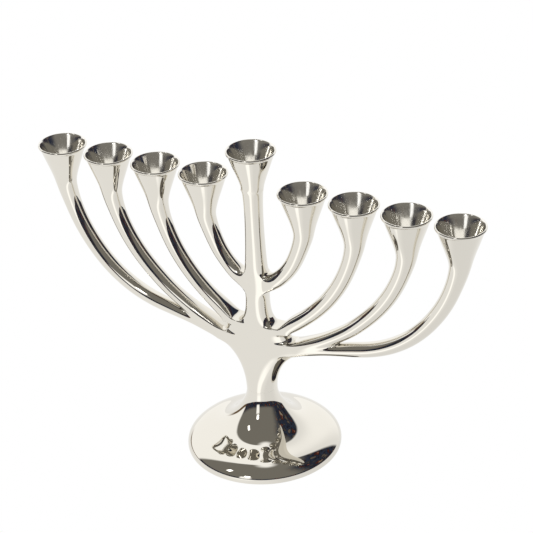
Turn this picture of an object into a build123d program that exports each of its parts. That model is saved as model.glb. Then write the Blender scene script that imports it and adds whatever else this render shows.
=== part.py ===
"""Nine-branch menorah: a weighted trumpet foot, a trunk casting, eight curved arms and nine candle cups.

Units are millimetres. +Z is up, +X runs along the row of cups, and the origin is on the table
under the middle of the foot. The trunk carries stubs that the arms are tenoned and brazed into, each
cup has a spigot brazed into the end of its arm, and a tie stud pulls the foot up against the trunk.
"""
from build123d import *
import os

os.makedirs("parts", exist_ok=True)

# Candle cups
CUP_PITCH = 25.0
SIDE_RIM_HEIGHT = 139.0
CENTRE_RIM_HEIGHT = 155.0
RIM_RADIUS = 11.3
CUP_LENGTH = 19.0
CUP_END_RADIUS = 4.95
MOUTH_RADIUS = 10.4
LIP_HEIGHT = 0.9
SEAT_RADIUS = 4.0
SEAT_DEPTH = 14.5
SPIGOT_RADIUS = 2.4
SPIGOT_LENGTH = 5.0

# Arms: named by the place of their cup, counted outwards from the trunk
ARM_NAMES = ("inner", "second", "third", "outer")
ARM_START = SIDE_RIM_HEIGHT - CUP_LENGTH
ARM_MIDDLE_RADIUS = 3.75
ARM_ROOT_RADIUS = 3.8
ARM_TAPER_LENGTH = 14.0
TENON_RADIUS = 2.4
TENON_LENGTH = 6.0
SOCKET_RELIEF = 0.4

# Trunk
PLATE_THICKNESS = 10.0
PLATE_EDGE = 1.6
NECK_RADIUS = 7.1
PLATE_BOTTOM = 34.0
BRANCH_BOTTOM = 76.0
BRANCH_TOP = CENTRE_RIM_HEIGHT - CUP_LENGTH

# Foot
FOOT_RADIUS = 36.5
FOOT_LIFT = 0.5
RIM_TOP = 5.4
FOOT_TOP = 32.0
BOSS_RADIUS = 8.0
BOSS_BOTTOM = 13.0
NECK_TENON_RADIUS = 4.6
NECK_TENON_LENGTH = 5.0

# Fastening and weight inside the foot
STUD_RADIUS = 3.0
STUD_TOP = 44.0
STUD_HOLE_RADIUS = 3.3
WASHER_RADIUS = 6.0
WASHER_THICKNESS = 1.6
LOCK_WASHER_RADIUS = 5.0
NUT_FLATS = 10.0
NUT_HEIGHT = 5.0
PAD_RADIUS = 32.5
PAD_THICKNESS = 1.5
CLOSING_PLATE_THICKNESS = 1.2
WEIGHT_INNER_RADIUS = 12.0

# Centre lines of the arms in the XZ plane, from the cup down to a point inside the trunk, with the
# direction at that point and the fraction of the length at which the arm ends and its stub begins
ARM_ROUTES = {
    "inner": ([(25.0, ARM_START), (22.1, 109.4), (16.0, 97.2), (2.5, 86.0)], (-0.84, -0.54), 0.83),
    "second": ([(50.0, ARM_START), (46.5, 106.0), (34.5, 85.0), (8.0, 64.2)], (-0.86, -0.50), 0.80),
    "third": ([(75.0, ARM_START), (71.4, 106.4), (58.8, 85.4), (39.0, 67.6), (22.0, 58.5)],
              (-0.90, -0.43), 0.66),
    "outer": ([(100.0, ARM_START), (94.8, 102.0), (81.5, 81.5), (62.0, 67.5), (40.0, 62.0), (20.0, 56.6)],
              (-0.95, -0.32), 0.72),
}


def arm_path(route: list[tuple[float, float]], end_direction: tuple[float, float]) -> Edge:
    """The centre line of a right-hand arm: straight down out of the cup, then round to the trunk."""
    points = [(x, 0, z) for x, z in route]
    directions = [(0, 0, -1), (end_direction[0], 0, end_direction[1])]
    return Edge.make_spline(points, tangents=directions)


def section_plane(path: Edge, fraction: float) -> Plane:
    """A plane square to the centre line, looking along it towards the trunk."""
    return Plane(origin=path @ fraction, x_dir=(0, 1, 0), z_dir=path % fraction)


def arm_radius(path: Edge, fraction: float) -> float:
    """The arm narrows quickly below the cup and thickens a little towards the trunk."""
    distance = fraction * path.length
    taper = max(0.0, 1 - distance / ARM_TAPER_LENGTH) ** 2
    return (ARM_MIDDLE_RADIUS + (CUP_END_RADIUS - ARM_MIDDLE_RADIUS) * taper
            + (ARM_ROOT_RADIUS - ARM_MIDDLE_RADIUS) * fraction ** 2)


def tube(path: Edge, first: float, last: float, sections: int) -> Part:
    """A round tube of the arm's radius along one stretch of its centre line."""
    with BuildPart() as stretch:
        for step in range(sections + 1):
            fraction = first + (last - first) * step / sections
            with BuildSketch(section_plane(path, fraction)):
                Circle(arm_radius(path, fraction))
        loft()
    return stretch.part


def make_cup(x: float, rim_height: float, name: str) -> None:
    """A turned trumpet cup: conical candle seat, rolled lip and a spigot for the arm's socket."""
    with BuildPart() as cup:
        with BuildSketch(Plane.XZ):
            with BuildLine():
                lip_inner = (MOUTH_RADIUS, -LIP_HEIGHT / 2)
                lip_outer = (RIM_RADIUS - 0.15, -LIP_HEIGHT)
                Polyline((0, -SEAT_DEPTH), (SEAT_RADIUS, -SEAT_DEPTH), lip_inner)
                ThreePointArc(lip_inner, ((MOUTH_RADIUS + RIM_RADIUS) / 2, 0), (RIM_RADIUS, -LIP_HEIGHT / 2))
                Line((RIM_RADIUS, -LIP_HEIGHT / 2), lip_outer)
                Spline(lip_outer, (9.1, -6.6), (6.95, -12.4), (CUP_END_RADIUS, -CUP_LENGTH))
                Polyline((CUP_END_RADIUS, -CUP_LENGTH), (SPIGOT_RADIUS, -CUP_LENGTH),
                         (SPIGOT_RADIUS, -CUP_LENGTH - SPIGOT_LENGTH), (0, -CUP_LENGTH - SPIGOT_LENGTH),
                         (0, -SEAT_DEPTH))
            make_face()
        revolve(axis=Axis.Z)
    cup.part = cup.part.moved(Location((x, 0, rim_height)))
    cup.part.label = name
    export_step(cup.part, f"parts/{name}.step")


def make_arm(place: str) -> None:
    """One pair of arms: a tapered tube with a cup socket above and a tenon below."""
    route, end_direction, joint = ARM_ROUTES[place]
    path = arm_path(route, end_direction)
    with BuildPart() as arm:
        add(tube(path, 0, joint, 9))
        with BuildSketch(section_plane(path, 0)):
            Circle(SPIGOT_RADIUS)
        extrude(amount=SPIGOT_LENGTH + SOCKET_RELIEF, mode=Mode.SUBTRACT)
        with BuildSketch(section_plane(path, joint)):
            Circle(TENON_RADIUS)
        extrude(amount=TENON_LENGTH)
    for side, shape in (("right", arm.part), ("left", arm.part.mirror(Plane.YZ))):
        shape.label = f"arm_{side}_{place}"
        export_step(shape, f"parts/{shape.label}.step")


def make_trunk() -> None:
    """The casting in the middle: neck, flat hub, six stubs, two side stubs and the centre branch."""
    with BuildPart() as trunk:
        with BuildSketch(Plane.XZ):
            with BuildLine():
                underside = Spline((NECK_RADIUS, PLATE_BOTTOM), (9.4, 42.5), (15.0, 50.6), (25.0, 55.6),
                                   tangents=[(0, 1), (1, 0.28)])
                lower_root = Line(underside @ 1, (25.0, 61.5))
                lower_gap = Line(lower_root @ 1, (17.0, 59.6))
                gap_end = ThreePointArc(lower_gap @ 1, (14.4, 62.2), (16.2, 65.2))
                upper_gap = Polyline(gap_end @ 1, (21.0, 68.4), (18.0, 73.4), (11.5, 68.6))
                pocket = ThreePointArc(upper_gap @ 1, (7.8, 67.8), (5.9, 71.0))
                Polyline(pocket @ 1, (5.5, 82.0), (0, 82.0), (0, PLATE_BOTTOM), underside @ 0)
            make_face()
            mirror(about=Plane.YZ)
        extrude(amount=PLATE_THICKNESS / 2, both=True)
        plate_faces = trunk.faces().filter_by(Axis.Y)
        fillet(plate_faces.edges().filter_by(lambda edge: edge.center().Z > PLATE_BOTTOM + 1), PLATE_EDGE)
        for height, half_width, half_depth in ((BRANCH_BOTTOM, 5.6, 5.0), (88, 5.3, 4.8), (102, 4.75, 4.55),
                                               (116, 4.4, 4.4), (127, 4.5, 4.5),
                                               (BRANCH_TOP, CUP_END_RADIUS, CUP_END_RADIUS)):
            with BuildSketch(Plane.XY.offset(height)):
                Ellipse(half_width, half_depth)
        loft()
        with BuildSketch(Plane.XY.offset(FOOT_TOP)):
            Circle(NECK_RADIUS)
        extrude(amount=PLATE_BOTTOM + 4 - FOOT_TOP)
        for route, end_direction, joint in ARM_ROUTES.values():
            stub = tube(arm_path(route, end_direction), joint, 1, 4)
            add(stub)
            add(stub.mirror(Plane.YZ))
        with BuildSketch(Plane.XY.offset(FOOT_TOP)):
            Circle(NECK_TENON_RADIUS)
        extrude(amount=-NECK_TENON_LENGTH)
        for route, end_direction, joint in ARM_ROUTES.values():
            path = arm_path(route, end_direction)
            with BuildPart(section_plane(path, joint), mode=Mode.PRIVATE) as socket:
                Cylinder(TENON_RADIUS, TENON_LENGTH + SOCKET_RELIEF,
                         align=(Align.CENTER, Align.CENTER, Align.MIN))
            add(socket.part, mode=Mode.SUBTRACT)
            add(socket.part.mirror(Plane.YZ), mode=Mode.SUBTRACT)
        with BuildSketch(Plane.XY.offset(BRANCH_TOP)):
            Circle(SPIGOT_RADIUS)
        extrude(amount=-SPIGOT_LENGTH - SOCKET_RELIEF, mode=Mode.SUBTRACT)
        with BuildSketch(Plane.XY.offset(FOOT_TOP - NECK_TENON_LENGTH)):
            Circle(STUD_RADIUS)
        extrude(amount=STUD_TOP - FOOT_TOP + NECK_TENON_LENGTH, mode=Mode.SUBTRACT)
    trunk.part.label = "trunk"
    export_step(trunk.part, "parts/trunk.step")


def make_foot() -> None:
    """The spun trumpet foot, with a rolled rim and a cast boss that the stud passes through."""
    with BuildPart() as foot:
        with BuildSketch(Plane.XZ):
            with BuildLine():
                rim = ThreePointArc((FOOT_RADIUS - 1.2, FOOT_LIFT), (FOOT_RADIUS, 2.4), (FOOT_RADIUS - 1.6, RIM_TOP))
                flare = Spline(rim @ 1, (30.2, 8.3), (23.5, 10.95), (17.3, 14.4), (11.3, 20.7), (8.2, 26.2),
                               (NECK_RADIUS, FOOT_TOP), tangents=[(-1, 0.85), (0, 1)])
                socket = Polyline(flare @ 1, (NECK_TENON_RADIUS, FOOT_TOP),
                                  (NECK_TENON_RADIUS, FOOT_TOP - NECK_TENON_LENGTH),
                                  (STUD_HOLE_RADIUS, FOOT_TOP - NECK_TENON_LENGTH),
                                  (STUD_HOLE_RADIUS, BOSS_BOTTOM), (BOSS_RADIUS, BOSS_BOTTOM))
                inside = Spline(socket @ 1, (16.4, 11.9), (22.8, 8.8), (29.2, 6.0), (PAD_RADIUS + 0.2, 3.2))
                Polyline(inside @ 1, (PAD_RADIUS + 0.2, FOOT_LIFT), rim @ 0)
            make_face()
        revolve(axis=Axis.Z)
    foot.part.label = "foot"
    export_step(foot.part, "parts/foot.step")


def make_ring(name: str, outer: float, inner: float, bottom: float, thickness: float) -> None:
    """A flat disc, with a hole where the inner radius isn't zero."""
    with BuildPart() as ring:
        with BuildSketch(Plane.XY.offset(bottom)):
            Circle(outer)
            if inner > 0:
                Circle(inner, mode=Mode.SUBTRACT)
        extrude(amount=thickness)
    ring.part.label = name
    export_step(ring.part, f"parts/{name}.step")


def make_weight(bottom: float) -> None:
    """The ring that weights the foot, shaped to lie under its flare."""
    with BuildPart() as weight:
        with BuildSketch(Plane.XZ):
            Polygon((WEIGHT_INNER_RADIUS, bottom), (28.0, bottom), (28.0, 5.4), (20.0, 8.8),
                    (WEIGHT_INNER_RADIUS, 11.2), align=None)
        revolve(axis=Axis.Z)
    weight.part.label = "foot_weight"
    export_step(weight.part, "parts/foot_weight.step")


def make_nut(bottom: float) -> None:
    """The hexagon nut on the tie stud."""
    with BuildPart() as nut:
        with BuildSketch(Plane.XY.offset(bottom)):
            RegularPolygon(NUT_FLATS / 2, 6, major_radius=False)
            Circle(STUD_RADIUS, mode=Mode.SUBTRACT)
        extrude(amount=NUT_HEIGHT)
    nut.part.label = "hex_nut"
    export_step(nut.part, "parts/hex_nut.step")


def make_lock_washer(bottom: float) -> None:
    """The split washer under the nut."""
    with BuildPart() as washer:
        with BuildSketch(Plane.XY.offset(bottom)):
            Circle(LOCK_WASHER_RADIUS)
            Circle(STUD_HOLE_RADIUS, mode=Mode.SUBTRACT)
            with Locations((LOCK_WASHER_RADIUS, 0)):
                Rectangle(2 * LOCK_WASHER_RADIUS - 2, 0.8, mode=Mode.SUBTRACT)
        extrude(amount=WASHER_THICKNESS)
    washer.part.label = "lock_washer"
    export_step(washer.part, "parts/lock_washer.step")


def make_stud(bottom: float) -> None:
    """The tie stud, from below the nut into the tapped neck of the trunk."""
    with BuildPart() as stud:
        with BuildSketch(Plane.XY.offset(bottom)):
            Circle(STUD_RADIUS)
        extrude(amount=STUD_TOP - bottom)
        chamfer(stud.edges().group_by(Axis.Z)[0], 0.5)
    stud.part.label = "tie_stud"
    export_step(stud.part, "parts/tie_stud.step")


def main() -> None:
    for number, place in enumerate(ARM_NAMES, start=1):
        make_arm(place)
        make_cup(number * CUP_PITCH, SIDE_RIM_HEIGHT, f"cup_right_{place}")
        make_cup(-number * CUP_PITCH, SIDE_RIM_HEIGHT, f"cup_left_{place}")
    make_cup(0, CENTRE_RIM_HEIGHT, "cup_centre")
    make_trunk()
    make_foot()
    make_ring("felt_pad", PAD_RADIUS, 0, 0, PAD_THICKNESS)
    make_ring("closing_plate", PAD_RADIUS, 0, PAD_THICKNESS, CLOSING_PLATE_THICKNESS)
    floor = PAD_THICKNESS + CLOSING_PLATE_THICKNESS
    make_weight(floor)
    flat_bottom = BOSS_BOTTOM - WASHER_THICKNESS
    lock_bottom = flat_bottom - WASHER_THICKNESS
    nut_bottom = lock_bottom - NUT_HEIGHT
    make_ring("flat_washer", WASHER_RADIUS, STUD_HOLE_RADIUS, flat_bottom, WASHER_THICKNESS)
    make_lock_washer(lock_bottom)
    make_nut(nut_bottom)
    make_stud(nut_bottom - 1)


main()
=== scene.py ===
"""Looks of a mirror-polished nine-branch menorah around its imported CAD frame.

The cast and brazed silverware is modelled as one control cage, because plating and polishing leave
no step at its joints: a quarter of it is laid out, mirrored, smoothed, and then parted along its
joint lines into the trunk, the arms and the cups. The foot, its felt and the stage are drawn out
from primitives. Lengths in the tables are millimetres; everything built is in metres.
"""
import math
from functools import partial

import bmesh
import bpy
from mathutils import Matrix, Vector


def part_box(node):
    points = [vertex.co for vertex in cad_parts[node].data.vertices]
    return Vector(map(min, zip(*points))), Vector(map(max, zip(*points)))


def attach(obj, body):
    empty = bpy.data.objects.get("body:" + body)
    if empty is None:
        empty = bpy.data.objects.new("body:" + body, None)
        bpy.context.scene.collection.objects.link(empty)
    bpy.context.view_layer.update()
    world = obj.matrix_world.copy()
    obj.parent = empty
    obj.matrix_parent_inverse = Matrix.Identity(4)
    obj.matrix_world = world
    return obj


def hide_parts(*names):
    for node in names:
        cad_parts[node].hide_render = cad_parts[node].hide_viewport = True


bl_info = {
    "name": "Polished Menorah",
    "version": (1, 0, 0),
    "blender": (4, 5, 0),
    "location": "View3D > Sidebar > Menorah",
    "description": "Builds the polished silverware of a nine-branch menorah around its CAD frame",
    "category": "Object",
}

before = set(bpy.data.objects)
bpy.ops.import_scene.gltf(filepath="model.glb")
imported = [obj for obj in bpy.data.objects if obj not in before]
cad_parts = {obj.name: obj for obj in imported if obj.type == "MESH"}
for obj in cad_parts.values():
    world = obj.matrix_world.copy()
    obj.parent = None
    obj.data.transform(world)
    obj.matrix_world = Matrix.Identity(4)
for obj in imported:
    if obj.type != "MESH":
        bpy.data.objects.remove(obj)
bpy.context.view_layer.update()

MM = 0.001
PLACES = ("inner", "second", "third", "outer")
PIECE_NUMBERS = {"trunk": 0, "inner": 1, "second": 2, "third": 3, "outer": 4, "cup": 5}

# A smooth closed line through eight control points keeps this share of their radius
RING_SHRINK = (2 + math.cos(math.pi / 4)) / 3
SIDE_REACH = 1 / RING_SHRINK
CORNER_REACH = math.cos(math.pi / 4) / RING_SHRINK

# Front face of the trunk, from the top of the centre branch down to the neck: height on the centre
# line, place of the edge (x, z), half thickness, and squareness of the section (0 round, 1 square)
TRUNK_ROWS = {
    "branch_top": (136.0, 4.95, 136.0, 4.95, 0.0),
    "branch_a": (131.5, 4.55, 131.5, 4.55, 0.0),
    "branch_b": (124.0, 4.3, 124.0, 4.3, 0.0),
    "branch_c": (115.0, 4.35, 115.0, 4.3, 0.1),
    "branch_d": (106.0, 4.6, 106.0, 4.4, 0.25),
    "branch_e": (99.0, 4.9, 99.0, 4.7, 0.3),
    "inner_upper": (93.4, 5.3, 93.4, 4.8, 0.35),
    "inner_middle": (88.8, 5.5, 88.8, 4.9, 0.4),
    "inner_lower": (84.2, 5.5, 84.2, 4.9, 0.35),
    "branch_f": (78.5, 5.5, 78.5, 5.0, 0.3),
    "branch_g": (73.8, 5.8, 73.6, 5.1, 0.4),
    "pocket_a": (70.6, 6.7, 69.9, 5.1, 0.7),
    "pocket_b": (68.4, 8.9, 67.4, 5.1, 0.9),
    "second_upper": (66.6, 11.7, 67.6, 5.1, 0.95),
    "second_middle": (64.8, 13.6, 66.4, 5.1, 1.0),
    "second_lower": (63.0, 17.2, 65.7, 5.1, 0.95),
    "gap_a": (61.5, 15.6, 63.9, 5.1, 0.9),
    "gap_b": (59.8, 15.8, 61.6, 5.1, 0.9),
    "third_upper": (58.3, 17.3, 60.4, 5.2, 0.95),
    "third_middle": (56.4, 17.9, 58.8, 5.2, 1.0),
    "shared": (54.7, 19.5, 57.8, 5.2, 1.0),
    "outer_middle": (53.0, 21.0, 56.6, 5.2, 1.0),
    "outer_lower": (51.0, 22.2, 55.2, 5.2, 0.6),
    "underside_a": (48.0, 15.9, 51.6, 5.4, 0.5),
    "underside_b": (44.2, 11.2, 46.1, 5.6, 0.45),
    "underside_c": (40.0, 8.7, 40.3, 6.1, 0.3),
    "neck_a": (36.0, 7.55, 36.0, 6.9, 0.1),
    "neck_end": (32.0, 7.25, 32.0, 7.25, 0.0),
}
# How much the front face swells in its middle and falls off at its edges, as a share of its depth
CROWN = 0.1
# Rows where an arm grows out of the front face, so the edge has no wall there
OPEN_ROWS = ("inner_middle", "second_middle", "third_middle", "shared", "outer_middle")

# Rings of the four arms on the right, outwards to the cup: centre (x, z), radius, half thickness,
# squareness. The arm begins at the ring whose number is its joint; the rings before it are its stub.
ARM_RINGS = {
    "inner": ((9.4, 90.5, 3.75, 4.2, 0.35), (13.0, 93.6, 3.7, 3.8, 0.0), (16.4, 97.6, 3.7, 3.7, 0.0),
              (19.4, 102.3, 3.75, 3.75, 0.0), (21.9, 108.2, 3.85, 3.85, 0.0),
              (23.7, 113.4, 4.15, 4.15, 0.0), (24.7, 117.0, 4.5, 4.5, 0.0), (25.0, 120.0, 4.95, 4.95, 0.0)),
    "second": ((18.6, 70.4, 3.7, 4.3, 0.5), (24.3, 74.7, 3.6, 3.8, 0.1), (30.0, 79.9, 3.65, 3.7, 0.0),
               (35.2, 85.8, 3.7, 3.7, 0.0), (39.8, 92.2, 3.7, 3.7, 0.0), (43.6, 99.0, 3.75, 3.75, 0.0),
               (46.5, 105.9, 3.8, 3.8, 0.0), (48.5, 112.0, 4.05, 4.05, 0.0),
               (49.6, 116.6, 4.5, 4.5, 0.0), (50.0, 120.0, 4.95, 4.95, 0.0)),
    "third": ((46.0, 73.0, 3.55, 3.65, 0.0), (52.0, 78.5, 3.6, 3.65, 0.0), (57.6, 84.2, 3.65, 3.7, 0.0),
              (62.8, 90.5, 3.7, 3.7, 0.0), (67.2, 97.3, 3.75, 3.75, 0.0), (70.6, 104.2, 3.8, 3.8, 0.0),
              (73.1, 110.8, 3.95, 3.95, 0.0), (74.5, 116.2, 4.5, 4.5, 0.0), (75.0, 120.0, 4.95, 4.95, 0.0)),
    "outer": ((46.5, 63.5, 3.45, 3.6, 0.0), (53.0, 64.9, 3.55, 3.65, 0.0), (60.0, 67.1, 3.6, 3.65, 0.0),
              (67.0, 70.4, 3.7, 3.7, 0.0), (73.8, 74.8, 3.7, 3.7, 0.0), (80.0, 80.2, 3.75, 3.75, 0.0),
              (85.7, 86.8, 3.75, 3.75, 0.0), (90.5, 93.9, 3.8, 3.8, 0.0), (94.3, 101.1, 3.85, 3.85, 0.0),
              (97.2, 108.8, 3.95, 3.95, 0.0), (99.1, 115.4, 4.45, 4.45, 0.0),
              (100.0, 120.0, 4.95, 4.95, 0.0)),
}
ARM_JOINT_RING = 1
# The third and outer arms share a root: their common rings as (x, z, depth) from the upper edge down
SHARED_RINGS = (
    ((25.8, 64.5, 3.9), (26.5, 62.6, 4.6), (27.1, 60.7, 4.6), (27.7, 58.8, 4.5), (28.3, 56.9, 3.8)),
    ((32.9, 67.9, 3.3), (34.3, 65.2, 4.2), (33.2, 62.4, 3.5), (34.2, 60.6, 4.1), (34.5, 58.6, 3.2)),
)
# How far that root's upper and lower sides stand out past those rings, and where the two arms part (x, z)
SHARED_BULGE = 0.7
CROTCH = (41.0, 65.0)

# Profile of a cup from its joint up, over the lip and down to the seat: depth below the rim, radius
CUP_RINGS = ((15.5, 5.85), (12.0, 7.0), (8.5, 8.25), (5.0, 9.45), (2.6, 10.25), (1.7, 10.55),
             (1.35, 11.1), (0.75, 11.45), (0.1, 11.2), (0.0, 10.8), (0.4, 10.45), (1.3, 10.0),
             (4.5, 8.7), (8.0, 7.2), (11.5, 5.65), (13.8, 4.5), (14.8, 3.6), (14.9, 1.8))
CUP_SEAT = 14.9
CUP_PITCH = 25.0
SIDE_RIM = 139.0
CENTRE_RIM = 155.0

# Profile of the foot from the neck joint out to the rim, under it and back up inside
FOOT_PROFILE = ((30.5, 7.25), (28.6, 7.45), (26.7, 8.0), (24.7, 8.8), (22.7, 9.9), (20.6, 11.3),
                (18.4, 13.0), (16.3, 15.0), (14.3, 17.4), (12.4, 20.3), (10.9, 23.6), (9.7, 27.0),
                (8.5, 30.3), (7.0, 33.0), (5.5, 34.9), (4.1, 36.1), (2.7, 36.55), (1.4, 36.55),
                (0.6, 36.2), (0.5, 35.2), (0.5, 33.1), (0.7, 32.7), (3.0, 32.7), (3.4, 32.1),
                (6.0, 29.0), (9.0, 22.6), (11.9, 16.2), (12.9, 9.0), (13.0, 7.6), (13.0, 3.6),
                (13.4, 3.3), (26.6, 3.3), (27.0, 3.6), (27.0, 4.3), (27.3, 4.6), (31.7, 4.6))
FOOT_RIM = 36.5
FOOT_SIDES = 32
# How steeply a change of the foot's radius fades from the rim towards the neck
FOOT_FADE = 4

FELT_SIDES = 96
FELT_RINGS = 6

# Edges sharper than this stay sharp in the shading
SHARP_ANGLE = math.radians(60)
# Faces at the bottom of a cup's seat lie within this distance of its axis, in metres
SEAT_RADIUS = 0.006

# Where the camera looks, and how far it then moves to its right and down to frame the object, in metres
CAMERA_AIM = (0, 0, 0.128)
CAMERA_RIGHT = 0.00595
CAMERA_DOWN = 0.0278

# Parts of the surround, as bands of turn to the right of the front and of height above the horizon, in
# degrees: each starts, is full, begins to fade and ends
ROOM = ((-80.0, -74.0, 146.0, 152.0), (-40.0, -39.0, 80.0, 88.0))
SLIT = ((-125.0, -110.0, 0.0, 1.0), (-4.0, -2.5, 3.0, 5.0))
WINDOW = ((-11.0, -6.0, 4.0, 9.0), (4.0, 9.0, 26.0, 31.0))
FRONT_LAMP = ((-5.0, -3.0, 3.0, 5.0), (30.0, 32.0, 36.0, 38.0))
LEFT_LAMP = ((-42.0, -39.0, -36.0, -33.0), (42.0, 44.0, 50.0, 53.0))
# Turn over which the surround is a little dimmer
BACK_SHADE = (120.0, 150.0, 155.0, 180.0)
# Between these heights the things in the room give way to its wall, except in the corner on the right
WALL_START = (9.0, 18.0)
CORNER_TURN = (66.0, 100.0)
CORNER_TOP = (72.0, 55.0)
# Things in the room, as a colour for each level of a noise texture
THINGS = ((0.34, (0.12, 0.1, 0.08)), (0.42, (0.015, 0.018, 0.03)), (0.5, (0.03, 0.04, 0.07)),
          (0.58, (0.01, 0.01, 0.015)), (0.66, (0.14, 0.04, 0.025)), (0.7, (0.3, 0.26, 0.2)))
THINGS_SCALE = 6.5
WINDOW_LIGHT = (1.25, 1.25, 1.25)
SLIT_LIGHT = (0.16, 0.1, 0.05)
SURROUND_GAIN = 1.2
LEFT_LAMP_SHARE = 0.7

# The table as the silverware reflects it: an even glow, painted light in a bright streak in front and
# painted shade on the right, by turn in degrees and by distance from the middle in metres; the painted
# streak starts only away from the middle, so the table next to the foot reflects no painted light
TABLE_LIGHT = 1.02
PAINTED_LIGHT_TURN = (-14.0, -3.0, 9.0, 20.0)
PAINTED_LIGHT_START = (0.03, 0.08)
PAINTED_LIGHT_GAIN = 0.4
PAINTED_SHADE_TURN = (20.0, 50.0, 100.0, 140.0)
PAINTED_SHADE_DEPTH = 0.1


def tint(name, title, color):
    """A colour setting in the panel."""
    return bpy.props.FloatVectorProperty(name=name, description=title, subtype="COLOR", size=3,
                                         min=0, max=1, default=color)


class MenorahFinish(bpy.types.PropertyGroup):
    """Colours and polish of the silverware."""
    plate: tint("Plate", "Colour of the polished nickel plate", (0.765, 0.735, 0.665))
    seat: tint("Cup inside", "Colour of the plate inside the cups", (0.88, 0.86, 0.81))
    polish: bpy.props.FloatProperty(name="Polish", description="Roughness of the outside", default=0.014,
                                    min=0, max=1, subtype="FACTOR")
    waviness: bpy.props.FloatProperty(name="Waviness", description="Depth of the hand-polished ripple",
                                      default=0.00004, min=0, unit="LENGTH")
    felt: tint("Felt", "Colour of the felt under the foot", (0.03, 0.05, 0.12))


class MenorahShape(bpy.types.PropertyGroup):
    """Sizes of the silverware."""
    edge: bpy.props.FloatProperty(name="Edge", description="Sharpness of the trunk's edges", default=0.2,
                                  min=0, max=1, subtype="FACTOR")
    smoothing: bpy.props.IntProperty(name="Smoothing", description="Subdivision levels of the silverware",
                                     default=3, min=1, max=4)
    rim_radius: bpy.props.FloatProperty(name="Foot radius", description="Outer radius of the foot",
                                        default=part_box("foot")[1].x, min=0.01, unit="LENGTH")


class MenorahStudio(bpy.types.PropertyGroup):
    """Camera and light."""
    lens: bpy.props.FloatProperty(name="Lens", description="Focal length", default=134.5, min=1,
                                  unit="CAMERA")
    azimuth: bpy.props.FloatProperty(name="Azimuth", description="Camera's turn from the front",
                                     default=math.radians(29.15), subtype="ANGLE")
    elevation: bpy.props.FloatProperty(name="Elevation", description="Camera's height above the table",
                                       default=math.radians(29.67), subtype="ANGLE")
    roll: bpy.props.FloatProperty(name="Roll", description="Camera's tilt about its own axis",
                                  default=math.radians(-2.70), subtype="ANGLE")
    distance: bpy.props.FloatProperty(name="Distance", description="From the camera to the object",
                                      default=0.8874, min=0.1, unit="LENGTH")
    surround: tint("Surround", "Light of the white surround", (0.95, 0.95, 0.95))
    room: tint("Room", "Light of the grey wall in front", (0.2, 0.19, 0.17))
    lamp: bpy.props.FloatProperty(name="Lamp", description="Strength of the lamps", default=7.0, min=0)
    table: bpy.props.FloatProperty(name="Table", description="Side of the table top", default=1.3,
                                   min=0.3, unit="LENGTH")


# ---------------------------------------------------------------- small helpers

def point(x, y, z):
    """A place given in millimetres, as a vector in metres."""
    return Vector((x, y, z)) * MM


def reach(squareness, round_reach):
    """How far out a control point stands, for a section between round and square."""
    return round_reach * (1 - squareness) + squareness


def select_only(piece):
    """Deselects everything, then selects the piece and makes it active."""
    bpy.ops.object.select_all(action="DESELECT")
    piece.select_set(True)
    bpy.context.view_layer.objects.active = piece


def apply_modifier(piece, kind, **settings):
    """Adds a modifier to the piece and applies it."""
    select_only(piece)
    modifier = piece.modifiers.new(kind.lower(), kind)
    for name, value in settings.items():
        setattr(modifier, name, value)
    bpy.ops.object.modifier_apply(modifier=modifier.name)


def finish_surface(piece):
    """Closes open ends, turns the faces outwards and smooths all but the sharp edges."""
    select_only(piece)
    bpy.ops.object.mode_set(mode="EDIT")
    bpy.ops.mesh.select_all(action="SELECT")
    bpy.ops.mesh.remove_doubles(threshold=1e-7)
    bpy.ops.mesh.select_all(action="SELECT")
    bpy.ops.mesh.fill_holes(sides=0)
    bpy.ops.mesh.select_all(action="SELECT")
    bpy.ops.mesh.normals_make_consistent(inside=False)
    bpy.ops.object.mode_set(mode="OBJECT")
    bpy.ops.object.shade_smooth_by_angle(angle=SHARP_ANGLE)


def place_piece(piece, name, nodes, material):
    """Names a finished piece, gives it its material and lets it stand for its CAD nodes."""
    piece.name = name
    piece.data.name = name
    piece.data.materials.clear()
    piece.data.materials.append(material)
    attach(piece, "root")
    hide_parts(*nodes)


# ---------------------------------------------------------------- materials

def new_material(name):
    """An empty node material with its Principled shader."""
    material = bpy.data.materials.new(name)
    material.use_nodes = True
    nodes = material.node_tree.nodes
    return material, nodes, material.node_tree.links, nodes["Principled BSDF"]


def noise(nodes, links, scale, detail, stretch=(1, 1, 1)):
    """Noise on the object's own coordinates, stretched along its axes."""
    place = nodes.new("ShaderNodeTexCoord")
    mapping = nodes.new("ShaderNodeMapping")
    mapping.inputs["Scale"].default_value = stretch
    texture = nodes.new("ShaderNodeTexNoise")
    texture.inputs["Scale"].default_value = scale
    texture.inputs["Detail"].default_value = detail
    links.new(place.outputs["Object"], mapping.inputs["Vector"])
    links.new(mapping.outputs["Vector"], texture.inputs["Vector"])
    return texture


def spread(nodes, links, source, low, high):
    """Maps a texture's middle range onto low to high."""
    span = nodes.new("ShaderNodeMapRange")
    span.inputs["From Min"].default_value = 0.3
    span.inputs["From Max"].default_value = 0.7
    span.inputs["To Min"].default_value = low
    span.inputs["To Max"].default_value = high
    links.new(source, span.inputs["Value"])
    return span.outputs["Result"]


def bump(nodes, links, shader, layers):
    """Adds bump layers, each a texture output and its depth in metres."""
    last = None
    for height, depth in layers:
        node = nodes.new("ShaderNodeBump")
        node.inputs["Strength"].default_value = 1.0
        node.inputs["Distance"].default_value = depth
        links.new(height, node.inputs["Height"])
        if last is not None:
            links.new(last.outputs["Normal"], node.inputs["Normal"])
        last = node
    links.new(last.outputs["Normal"], shader.inputs["Normal"])


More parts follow.
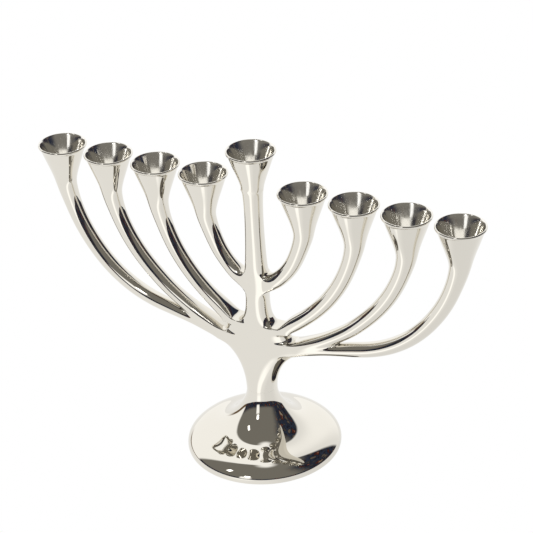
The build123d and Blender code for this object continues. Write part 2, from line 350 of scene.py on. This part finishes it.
def tinted(nodes, links, shader, source, color, shift):
    """Varies the base colour a little around the given one."""
    mix = nodes.new("ShaderNodeMix")
    mix.data_type = "RGBA"
    mix.inputs["A"].default_value = [channel * (1 - shift) for channel in color] + [1]
    mix.inputs["B"].default_value = [min(1, channel * (1 + shift)) for channel in color] + [1]
    links.new(source, mix.inputs["Factor"])
    links.new(mix.outputs["Result"], shader.inputs["Base Color"])


def polished_plate(finish):
    """Mirror-polished nickel plate: slow ripple from hand polishing, faint cloudiness, fine wipe marks."""
    material, nodes, links, shader = new_material("mirror_plate")
    shader.inputs["Metallic"].default_value = 1.0
    cloud = noise(nodes, links, 38, 3)
    tinted(nodes, links, shader, cloud.outputs["Fac"], finish.plate, 0.015)
    wipe = noise(nodes, links, 900, 2, (1, 1, 0.15))
    links.new(spread(nodes, links, wipe.outputs["Fac"], finish.polish * 0.6, finish.polish * 1.5),
              shader.inputs["Roughness"])
    ripple = noise(nodes, links, 110, 1)
    bump(nodes, links, shader, ((ripple.outputs["Fac"], finish.waviness),
                                (wipe.outputs["Fac"], finish.waviness * 0.004)))
    return material


def turned_plate(finish):
    """Plate inside a cup: less well polished, with streaks that run down to the seat."""
    material, nodes, links, shader = new_material("turned_plate")
    shader.inputs["Metallic"].default_value = 1.0
    streak = noise(nodes, links, 700, 3, (1, 1, 0.06))
    tinted(nodes, links, shader, streak.outputs["Fac"], finish.seat, 0.06)
    links.new(spread(nodes, links, streak.outputs["Fac"], 0.08, 0.2), shader.inputs["Roughness"])
    pit = noise(nodes, links, 1500, 2)
    bump(nodes, links, shader, ((streak.outputs["Fac"], finish.waviness * 0.5),
                                (pit.outputs["Fac"], finish.waviness * 0.12)))
    return material


def zinc_steel():
    """Zinc-plated steel fastenings: dull, slightly mottled metal."""
    material, nodes, links, shader = new_material("zinc_steel")
    shader.inputs["Metallic"].default_value = 1.0
    spangle = noise(nodes, links, 420, 4)
    tinted(nodes, links, shader, spangle.outputs["Fac"], (0.56, 0.58, 0.6), 0.1)
    links.new(spread(nodes, links, spangle.outputs["Fac"], 0.28, 0.45), shader.inputs["Roughness"])
    bump(nodes, links, shader, ((spangle.outputs["Fac"], 0.00001),))
    return material


def cast_weight():
    """Rough grey iron of the weight inside the foot."""
    material, nodes, links, shader = new_material("cast_weight")
    shader.inputs["Metallic"].default_value = 0.6
    grain = noise(nodes, links, 500, 6)
    tinted(nodes, links, shader, grain.outputs["Fac"], (0.12, 0.12, 0.12), 0.3)
    links.new(spread(nodes, links, grain.outputs["Fac"], 0.6, 0.85), shader.inputs["Roughness"])
    bump(nodes, links, shader, ((grain.outputs["Fac"], 0.00015),))
    return material


def wool_felt(finish):
    """Matted wool: uneven colour, short nap and a soft sheen."""
    material, nodes, links, shader = new_material("wool_felt")
    fibre = noise(nodes, links, 2600, 8)
    patch = noise(nodes, links, 140, 4)
    tinted(nodes, links, shader, patch.outputs["Fac"], finish.felt, 0.25)
    shader.inputs["Roughness"].default_value = 0.95
    shader.inputs["Sheen Weight"].default_value = 0.4
    bump(nodes, links, shader, ((patch.outputs["Fac"], 0.00008), (fibre.outputs["Fac"], 0.0001)))
    return material


# ---------------------------------------------------------------- the silverware's cage

def trunk_row(cage, row):
    """The control points of one row of the trunk's front quarter: centre, edge and wall."""
    centre_z, x, z, depth, square = row
    crown = depth * reach(square, SIDE_REACH) * (1 + CROWN * square)
    corner = depth * reach(square, CORNER_REACH) * (1 - CROWN * square)
    centre = cage.verts.new(point(0, -crown, centre_z))
    edge = cage.verts.new(point(x * reach(square, CORNER_REACH), -corner, z))
    wall = (x * reach(square, SIDE_REACH), z)
    return centre, edge, wall


def arm_ring(cage, centre, along, radius, depth, square):
    """Half a ring of an arm, from its upper side over the front to its lower side."""
    up = Vector((-along[1], along[0])).normalized()
    ring = []
    for side, reach_out, front in ((1, SIDE_REACH, 0), (1, CORNER_REACH, CORNER_REACH), (0, 0, SIDE_REACH),
                                   (-1, CORNER_REACH, CORNER_REACH), (-1, SIDE_REACH, 0)):
        offset = side * radius * reach(square, reach_out) if side else 0
        lift = depth * reach(square, front) if front else 0
        ring.append(cage.verts.new(point(centre[0] + up.x * offset, -lift, centre[1] + up.y * offset)))
    return ring


def strip(cage, first, second, number):
    """A strip of faces between two rings."""
    for a, b, c, d in zip(first, first[1:], second[1:], second):
        cage.faces.new((a, b, c, d)).material_index = number


def draw_arm(cage, place, start):
    """Draws an arm out from its stub and gives back its last ring."""
    rings = ARM_RINGS[place]
    last = start
    for index, (x, z, radius, depth, square) in enumerate(rings):
        before = rings[index - 1] if index else None
        after = rings[index + 1] if index + 1 < len(rings) else None
        if after is None:
            along = (0, 1)
        elif before is None:
            along = (after[0] - x, after[1] - z)
        else:
            along = (after[0] - before[0], after[1] - before[1])
        ring = arm_ring(cage, (x, z), along, radius, depth, square)
        number = PIECE_NUMBERS["trunk"] if index <= ARM_JOINT_RING else PIECE_NUMBERS[place]
        strip(cage, last, ring, number)
        last = ring
    return last


def draw_cup(cage, start, x, rim):
    """Draws a cup up from a ring, over its lip and down to its seat."""
    last = start
    for depth, radius in CUP_RINGS:
        ring = arm_ring(cage, (x, rim - depth), (0, 1), radius, radius, 0.0)
        if x == 0:
            cage.verts.remove(ring.pop(0))
            cage.verts.remove(ring.pop(0))
        strip(cage, last, ring, PIECE_NUMBERS["cup"])
        last = ring
    seat = cage.verts.new(point(x, 0, rim - CUP_SEAT))
    for a, b in zip(last, last[1:]):
        cage.faces.new((a, b, seat)).material_index = PIECE_NUMBERS["cup"]


def draw_trunk(cage, edge_sharpness):
    """Lays out the trunk's front face and walls, and gives back the roots of the arms."""
    crease = cage.edges.layers.float.new("crease_edge")
    rows = {name: trunk_row(cage, row) for name, row in TRUNK_ROWS.items()}
    names = list(rows)
    walls = {name: cage.verts.new(point(rows[name][2][0], 0, rows[name][2][1]))
             for name in names if name not in OPEN_ROWS}
    for upper, lower in zip(names, names[1:]):
        strip(cage, rows[upper][:2], rows[lower][:2], PIECE_NUMBERS["trunk"])
        if upper in walls and lower in walls:
            face = cage.faces.new((rows[upper][1], walls[upper], walls[lower], rows[lower][1]))
            face.material_index = PIECE_NUMBERS["trunk"]
            square = min(TRUNK_ROWS[upper][4], TRUNK_ROWS[lower][4])
            cage.edges.get((rows[upper][1], rows[lower][1]))[crease] = edge_sharpness * square ** 2
    edges = {name: rows[name][1] for name in names}
    roots = {}
    for place in ("inner", "second"):
        front = [edges[f"{place}_{part}"] for part in ("upper", "middle", "lower")]
        roots[place] = [walls[f"{place}_upper"]] + front + [walls[f"{place}_lower"]]
    shared = [walls["third_upper"], edges["third_upper"], edges["third_middle"], edges["shared"],
              edges["outer_middle"], edges["outer_lower"], walls["outer_lower"]]
    top = [rows["branch_top"][0], edges["branch_top"], walls["branch_top"]]
    return roots, shared, top


def bulged(end, beside):
    """A place just past the end of a shared ring, in line with the point beside it."""
    end, beside = Vector(end[:2]), Vector(beside[:2])
    return end + (end - beside).normalized() * SHARED_BULGE


def draw_shared_root(cage, start):
    """Draws out the common root of the third and outer arms and parts it at the crotch."""
    last = start
    for places in SHARED_RINGS:
        front = [cage.verts.new(point(x, -depth, z)) for x, z, depth in places]
        upper = bulged(places[0], places[1])
        lower = bulged(places[-1], places[-2])
        top = cage.verts.new(point(upper.x, 0, upper.y))
        bottom = cage.verts.new(point(lower.x, 0, lower.y))
        ring = [top] + front + [bottom]
        strip(cage, last, ring, PIECE_NUMBERS["trunk"])
        last = ring
    crotch = cage.verts.new(point(CROTCH[0], 0, CROTCH[1]))
    return last[:4] + [crotch], [crotch] + last[3:]


def silverware_cage(edge_sharpness):
    """A quarter of the silverware's control cage as a mesh object."""
    cage = bmesh.new()
    roots, shared, top = draw_trunk(cage, edge_sharpness)
    roots["third"], roots["outer"] = draw_shared_root(cage, shared)
    for number, place in enumerate(PLACES, start=1):
        end = draw_arm(cage, place, roots[place])
        draw_cup(cage, end, number * CUP_PITCH, SIDE_RIM)
    draw_cup(cage, top, 0, CENTRE_RIM)
    mesh = bpy.data.meshes.new("silverware")
    cage.to_mesh(mesh)
    cage.free()
    piece = bpy.data.objects.new("silverware", mesh)
    bpy.context.scene.collection.objects.link(piece)
    return piece


def part_silverware(whole):
    """Parts the smooth silverware along its joint lines, into one object for each piece."""
    for kind in PIECE_NUMBERS:
        whole.data.materials.append(bpy.data.materials.new(kind))
    select_only(whole)
    bpy.ops.object.mode_set(mode="EDIT")
    bpy.ops.mesh.separate(type="MATERIAL")
    bpy.ops.object.mode_set(mode="OBJECT")
    families = list(bpy.context.selected_objects)
    bpy.ops.object.select_all(action="DESELECT")
    pieces = []
    for family in families:
        face = family.data.polygons[0]
        kind = family.data.materials[face.material_index].name.split(".")[0]
        select_only(family)
        bpy.ops.object.mode_set(mode="EDIT")
        bpy.ops.mesh.separate(type="LOOSE")
        bpy.ops.object.mode_set(mode="OBJECT")
        pieces += [(kind, piece) for piece in bpy.context.selected_objects]
    return pieces


def middle_x(piece):
    """The middle of a piece along the row of cups, in millimetres."""
    places = [vertex.co.x for vertex in piece.data.vertices]
    return (min(places) + max(places)) / 2 / MM


def node_name(kind, x):
    """The CAD node that a parted piece stands for."""
    if kind == "trunk":
        return "trunk"
    side = "left" if x < 0 else "right"
    if kind != "cup":
        return f"arm_{side}_{kind}"
    number = round(abs(x) / CUP_PITCH)
    return f"cup_{side}_{PLACES[number - 1]}" if number else "cup_centre"


def polish_seat(piece, material):
    """Gives the faces that look at the cup's own axis the turned finish."""
    piece.data.materials.append(material)
    centre = middle_x(piece) * MM
    for face in piece.data.polygons:
        out = Vector((face.center.x - centre, face.center.y, 0))
        if out.dot(face.normal) < -1e-6 or (face.normal.z > 0.5 and out.length < SEAT_RADIUS):
            face.material_index = 1


class MENORAH_OT_silverware(bpy.types.Operator):
    """Model the trunk, the arms and the cups as one cage and part them at their joints"""
    bl_idname = "menorah.silverware"
    bl_label = "Trunk, arms and cups"

    def execute(self, context):
        shape = context.scene.menorah_shape
        whole = silverware_cage(shape.edge)
        apply_modifier(whole, "MIRROR", use_axis=(True, True, False), use_clip=True, merge_threshold=1e-5)
        apply_modifier(whole, "SUBSURF", levels=shape.smoothing, render_levels=shape.smoothing)
        plate = polished_plate(context.scene.menorah_finish)
        inside = turned_plate(context.scene.menorah_finish)
        for kind, piece in part_silverware(whole):
            node = node_name(kind, middle_x(piece))
            finish_surface(piece)
            place_piece(piece, f"polished_{node}", [node], plate)
            if kind == "cup":
                polish_seat(piece, inside)
        return {"FINISHED"}


class MENORAH_OT_foot(bpy.types.Operator):
    """Draw the trumpet foot out from the neck's round end and back up inside"""
    bl_idname = "menorah.foot"
    bl_label = "Foot"

    def execute(self, context):
        bpy.ops.object.select_all(action="DESELECT")
        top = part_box("foot")[1].z
        radius = TRUNK_ROWS["neck_end"][1] * MM
        swell = 3 / (2 + math.cos(2 * math.pi / FOOT_SIDES))
        bpy.ops.mesh.primitive_circle_add(vertices=FOOT_SIDES, radius=radius * swell, location=(0, 0, top))
        foot = context.active_object
        bpy.ops.object.transform_apply(location=True, rotation=True, scale=True)
        bpy.ops.object.mode_set(mode="EDIT")
        bpy.ops.mesh.select_all(action="SELECT")
        height = top
        stretch = context.scene.menorah_shape.rim_radius / (FOOT_RIM * MM)
        for z, r in FOOT_PROFILE:
            wide = r * MM * (1 + (stretch - 1) * min(1, r / FOOT_RIM) ** FOOT_FADE)
            bpy.ops.mesh.extrude_region_move(TRANSFORM_OT_translate={"value": (0, 0, z * MM - height)})
            bpy.ops.transform.resize(value=(wide / radius, wide / radius, 1),
                                     center_override=(0, 0, z * MM))
            height = z * MM
            radius = wide
        bpy.ops.object.mode_set(mode="OBJECT")
        apply_modifier(foot, "SUBSURF", levels=2, render_levels=2)
        finish_surface(foot)
        place_piece(foot, "polished_foot", ["foot"], bpy.data.materials["mirror_plate"])
        return {"FINISHED"}


class MENORAH_OT_felt(bpy.types.Operator):
    """Cut the felt disc and round its edge"""
    bl_idname = "menorah.felt"
    bl_label = "Felt pad"

    def execute(self, context):
        bpy.ops.object.select_all(action="DESELECT")
        low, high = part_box("felt_pad")
        radius = high.x
        thickness = high.z - low.z
        bpy.ops.mesh.primitive_circle_add(vertices=FELT_SIDES, radius=radius, fill_type="NGON",
                                          location=(0, 0, low.z))
        pad = context.active_object
        bpy.ops.object.transform_apply(location=True, rotation=True, scale=True)
        bpy.ops.object.mode_set(mode="EDIT")
        bpy.ops.mesh.select_all(action="SELECT")
        for _ in range(FELT_RINGS):
            bpy.ops.mesh.inset(thickness=radius / (FELT_RINGS + 2), depth=0)
        bpy.ops.mesh.select_all(action="SELECT")
        bpy.ops.mesh.extrude_region_move(TRANSFORM_OT_translate={"value": (0, 0, thickness)})
        bpy.ops.object.mode_set(mode="OBJECT")
        apply_modifier(pad, "BEVEL", width=thickness * 0.25, segments=3, limit_method="ANGLE",
                       angle_limit=math.radians(60))
        finish_surface(pad)
        place_piece(pad, "felt_under_foot", ["felt_pad"], wool_felt(context.scene.menorah_finish))
        return {"FINISHED"}


class MENORAH_OT_fastenings(bpy.types.Operator):
    """Give the CAD's own stud, nut, washers, plate and weight their finishes"""
    bl_idname = "menorah.fastenings"
    bl_label = "Fastenings and weight"

    def execute(self, context):
        steel = zinc_steel()
        finishes = {"tie_stud": steel, "hex_nut": steel, "flat_washer": steel, "lock_washer": steel,
                    "closing_plate": steel, "foot_weight": cast_weight()}
        for name, material in finishes.items():
            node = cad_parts[name]
            node.data.materials.clear()
            node.data.materials.append(material)
        return {"FINISHED"}


# ---------------------------------------------------------------- stage

def camera_axes(studio):
    """The camera's right, up and backward directions."""
    azimuth, elevation, roll = studio.azimuth, studio.elevation, studio.roll
    back = Vector((math.sin(azimuth) * math.cos(elevation), -math.cos(azimuth) * math.cos(elevation),
                   math.sin(elevation)))
    right = (-back).cross(Vector((0, 0, 1))).normalized()
    up = right.cross(-back)
    turned_right = math.cos(roll) * right + math.sin(roll) * up
    turned_up = -math.sin(roll) * right + math.cos(roll) * up
    return turned_right, turned_up, back


def add_camera(scene, studio):
    """The camera, aimed at the height of the cups and moved sideways to frame the object."""
    right, up, back = camera_axes(studio)
    place = Vector(CAMERA_AIM) + back * studio.distance + right * CAMERA_RIGHT - up * CAMERA_DOWN
    data = bpy.data.cameras.new("camera")
    data.lens = studio.lens
    data.sensor_width = 36
    data.clip_end = 100
    camera = bpy.data.objects.new("camera", data)
    camera.matrix_world = Matrix((right, up, back)).transposed().to_4x4()
    camera.matrix_world.translation = place
    scene.collection.objects.link(camera)
    scene.camera = camera


def add_floor(studio):
    """A table top that glows plain white to the camera and with painted light and shade to the silverware.
    """
    bpy.ops.object.select_all(action="DESELECT")
    bpy.ops.mesh.primitive_plane_add(size=studio.table, location=(0, 0, 0))
    floor = bpy.context.active_object
    floor.name = "table_top"
    material, nodes, links, shader = new_material("white_table_painted_light")
    nodes.remove(shader)
    place = nodes.new("ShaderNodeTexCoord")
    split = nodes.new("ShaderNodeSeparateXYZ")
    links.new(place.outputs["Object"], split.inputs[0])
    calc = partial(world_math, nodes, links)
    x, y, _ = split.outputs
    turn = calc("DEGREES", calc("ARCTAN2", x, calc("MULTIPLY", y, -1.0)))
    away = calc("SQRT", calc("ADD", calc("POWER", x, 2.0), calc("POWER", y, 2.0)))
    # Painted light: a bright streak on the table in front, starting only away from the foot
    streak = calc("MULTIPLY", band(nodes, links, turn, *PAINTED_LIGHT_TURN),
                  soft_step(nodes, links, away, *PAINTED_LIGHT_START))
    # Painted shade: the table reflects darker on the right
    shade = band(nodes, links, turn, *PAINTED_SHADE_TURN)
    painted_light_and_shade = calc("SUBTRACT", calc("MULTIPLY", streak, PAINTED_LIGHT_GAIN), calc("MULTIPLY", shade, PAINTED_SHADE_DEPTH))
    light = calc("ADD", TABLE_LIGHT, painted_light_and_shade)
    glow = nodes.new("ShaderNodeEmission")
    glow.inputs["Color"].default_value = tuple(studio.surround) + (1,)
    links.new(light, glow.inputs["Strength"])
    plain = nodes.new("ShaderNodeEmission")
    plain.inputs["Color"].default_value = (1, 1, 1, 1)
    seen_directly(nodes, links, glow, plain, nodes["Material Output"])
    floor.data.materials.append(material)


def seen_directly(nodes, links, shining, seen, output):
    """Shows one shader to the camera and the other to everything that reflects it."""
    rays = nodes.new("ShaderNodeLightPath")
    choose = nodes.new("ShaderNodeMixShader")
    links.new(rays.outputs["Is Camera Ray"], choose.inputs[0])
    links.new(shining.outputs[0], choose.inputs[1])
    links.new(seen.outputs[0], choose.inputs[2])
    links.new(choose.outputs[0], output.inputs["Surface"])


def world_math(nodes, links, operation, first, second=0.0):
    """One Math node, fed by numbers or by other nodes."""
    node = nodes.new("ShaderNodeMath")
    node.operation = operation
    for socket, value in zip(node.inputs, (first, second)):
        if isinstance(value, bpy.types.NodeSocket):
            links.new(value, socket)
        else:
            socket.default_value = value
    return node.outputs[0]


def soft_step(nodes, links, value, start, end):
    """0 below start, 1 above end, smooth between; the other way round if start is the larger."""
    span = nodes.new("ShaderNodeMapRange")
    span.interpolation_type = "SMOOTHSTEP"
    span.inputs["From Min"].default_value = min(start, end)
    span.inputs["From Max"].default_value = max(start, end)
    span.inputs["To Min"].default_value = 0 if start < end else 1
    span.inputs["To Max"].default_value = 1 if start < end else 0
    links.new(value, span.inputs["Value"])
    return span.outputs["Result"]


def band(nodes, links, value, start, full, fade, end):
    """Rises from start to full and falls again from fade to end."""
    rise = soft_step(nodes, links, value, start, full)
    fall = soft_step(nodes, links, value, end, fade)
    return world_math(nodes, links, "MULTIPLY", rise, fall)


def blend(nodes, links, amount, under, over, kind="MIX"):
    """Mixes two colours by an amount."""
    mix = nodes.new("ShaderNodeMix")
    mix.data_type = "RGBA"
    mix.blend_type = kind
    for name, value in (("Factor", amount), ("A", under), ("B", over)):
        if isinstance(value, bpy.types.NodeSocket):
            links.new(value, mix.inputs[name])
        elif name == "Factor":
            mix.inputs["Factor"].default_value = value
        else:
            mix.inputs[name].default_value = tuple(value) + (1,)
    return mix.outputs["Result"]


def add_world(scene, studio):
    """Plain white to the camera; to the silverware, a room in front of the table with lamps and a window."""
    world = bpy.data.worlds.new("studio")
    scene.world = world
    world.use_nodes = True
    nodes, links = world.node_tree.nodes, world.node_tree.links
    nodes.clear()
    place = nodes.new("ShaderNodeTexCoord")
    split = nodes.new("ShaderNodeSeparateXYZ")
    links.new(place.outputs["Generated"], split.inputs[0])
    x, y, z = split.outputs
    calc = partial(world_math, nodes, links)
    mask = partial(band, nodes, links)
    step = partial(soft_step, nodes, links)
    mix = partial(blend, nodes, links)
    turn = calc("DEGREES", calc("ARCTAN2", x, calc("MULTIPLY", y, -1.0)))
    height = calc("DEGREES", calc("ARCSINE", z))
    room, slit, window, front_lamp, left_lamp = (
        calc("MULTIPLY", mask(turn, *turns), mask(height, *heights))
        for turns, heights in (ROOM, SLIT, WINDOW, FRONT_LAMP, LEFT_LAMP))
    texture = nodes.new("ShaderNodeTexNoise")
    texture.inputs["Scale"].default_value = THINGS_SCALE
    texture.inputs["Detail"].default_value = 4
    links.new(place.outputs["Generated"], texture.inputs["Vector"])
    things = nodes.new("ShaderNodeValToRGB")
    for position, _ in THINGS[1:-1]:
        things.color_ramp.elements.new(position)
    for element, (position, shade) in zip(things.color_ramp.elements, THINGS):
        element.position = position
        element.color = shade + (1,)
    links.new(texture.outputs["Fac"], things.inputs["Fac"])
    wall = mix(step(height, *WALL_START), things.outputs["Color"], studio.room)
    corner = calc("MULTIPLY", step(turn, *CORNER_TURN), step(height, *CORNER_TOP))
    wall = mix(corner, wall, things.outputs["Color"])
    wall = mix(window, wall, WINDOW_LIGHT)
    bright = [channel * SURROUND_GAIN for channel in studio.surround]
    outside = mix(mask(turn, *BACK_SHADE), bright, studio.surround)
    outside = mix(slit, outside, SLIT_LIGHT)
    inside = mix(room, outside, wall)
    lamps = calc("ADD", calc("MULTIPLY", front_lamp, studio.lamp),
                 calc("MULTIPLY", left_lamp, studio.lamp * LEFT_LAMP_SHARE))
    lit = nodes.new("ShaderNodeCombineColor")
    for socket in lit.inputs:
        links.new(lamps, socket)
    shining = nodes.new("ShaderNodeBackground")
    links.new(mix(1.0, inside, lit.outputs[0], "ADD"), shining.inputs["Color"])
    seen = nodes.new("ShaderNodeBackground")
    seen.inputs["Color"].default_value = (1, 1, 1, 1)
    seen_directly(nodes, links, shining, seen, nodes.new("ShaderNodeOutputWorld"))


class MENORAH_OT_stage(bpy.types.Operator):
    """Set up the camera, the white table top and the studio light"""
    bl_idname = "menorah.stage"
    bl_label = "Camera, table and light"

    def execute(self, context):
        studio = context.scene.menorah_studio
        add_camera(context.scene, studio)
        add_floor(studio)
        add_world(context.scene, studio)
        context.scene.view_settings.view_transform = "Standard"
        context.scene.cycles.blur_glossy = 0
        return {"FINISHED"}


class MENORAH_PT_panel(bpy.types.Panel):
    """Steps and settings of the menorah"""
    bl_idname = "MENORAH_PT_panel"
    bl_label = "Menorah"
    bl_space_type = "VIEW_3D"
    bl_region_type = "UI"
    bl_category = "Menorah"

    def draw(self, context):
        for operator in STEPS:
            self.layout.operator(operator.bl_idname)
        for group in SETTINGS:
            settings = getattr(context.scene, group)
            for name in type(settings).__annotations__:
                self.layout.prop(settings, name)


SETTINGS = {"menorah_shape": MenorahShape, "menorah_finish": MenorahFinish, "menorah_studio": MenorahStudio}
STEPS = (MENORAH_OT_silverware, MENORAH_OT_foot, MENORAH_OT_felt, MENORAH_OT_fastenings, MENORAH_OT_stage)
CLASSES = tuple(SETTINGS.values()) + STEPS + (MENORAH_PT_panel,)


def register():
    for item in CLASSES:
        bpy.utils.register_class(item)
    for name, group in SETTINGS.items():
        setattr(bpy.types.Scene, name, bpy.props.PointerProperty(type=group))


def unregister():
    for name in SETTINGS:
        delattr(bpy.types.Scene, name)
    for item in reversed(CLASSES):
        bpy.utils.unregister_class(item)


def main():
    register()
    bpy.ops.menorah.silverware()
    bpy.ops.menorah.foot()
    bpy.ops.menorah.felt()
    bpy.ops.menorah.fastenings()
    bpy.ops.menorah.stage()


if __name__ == "__main__":
    main()
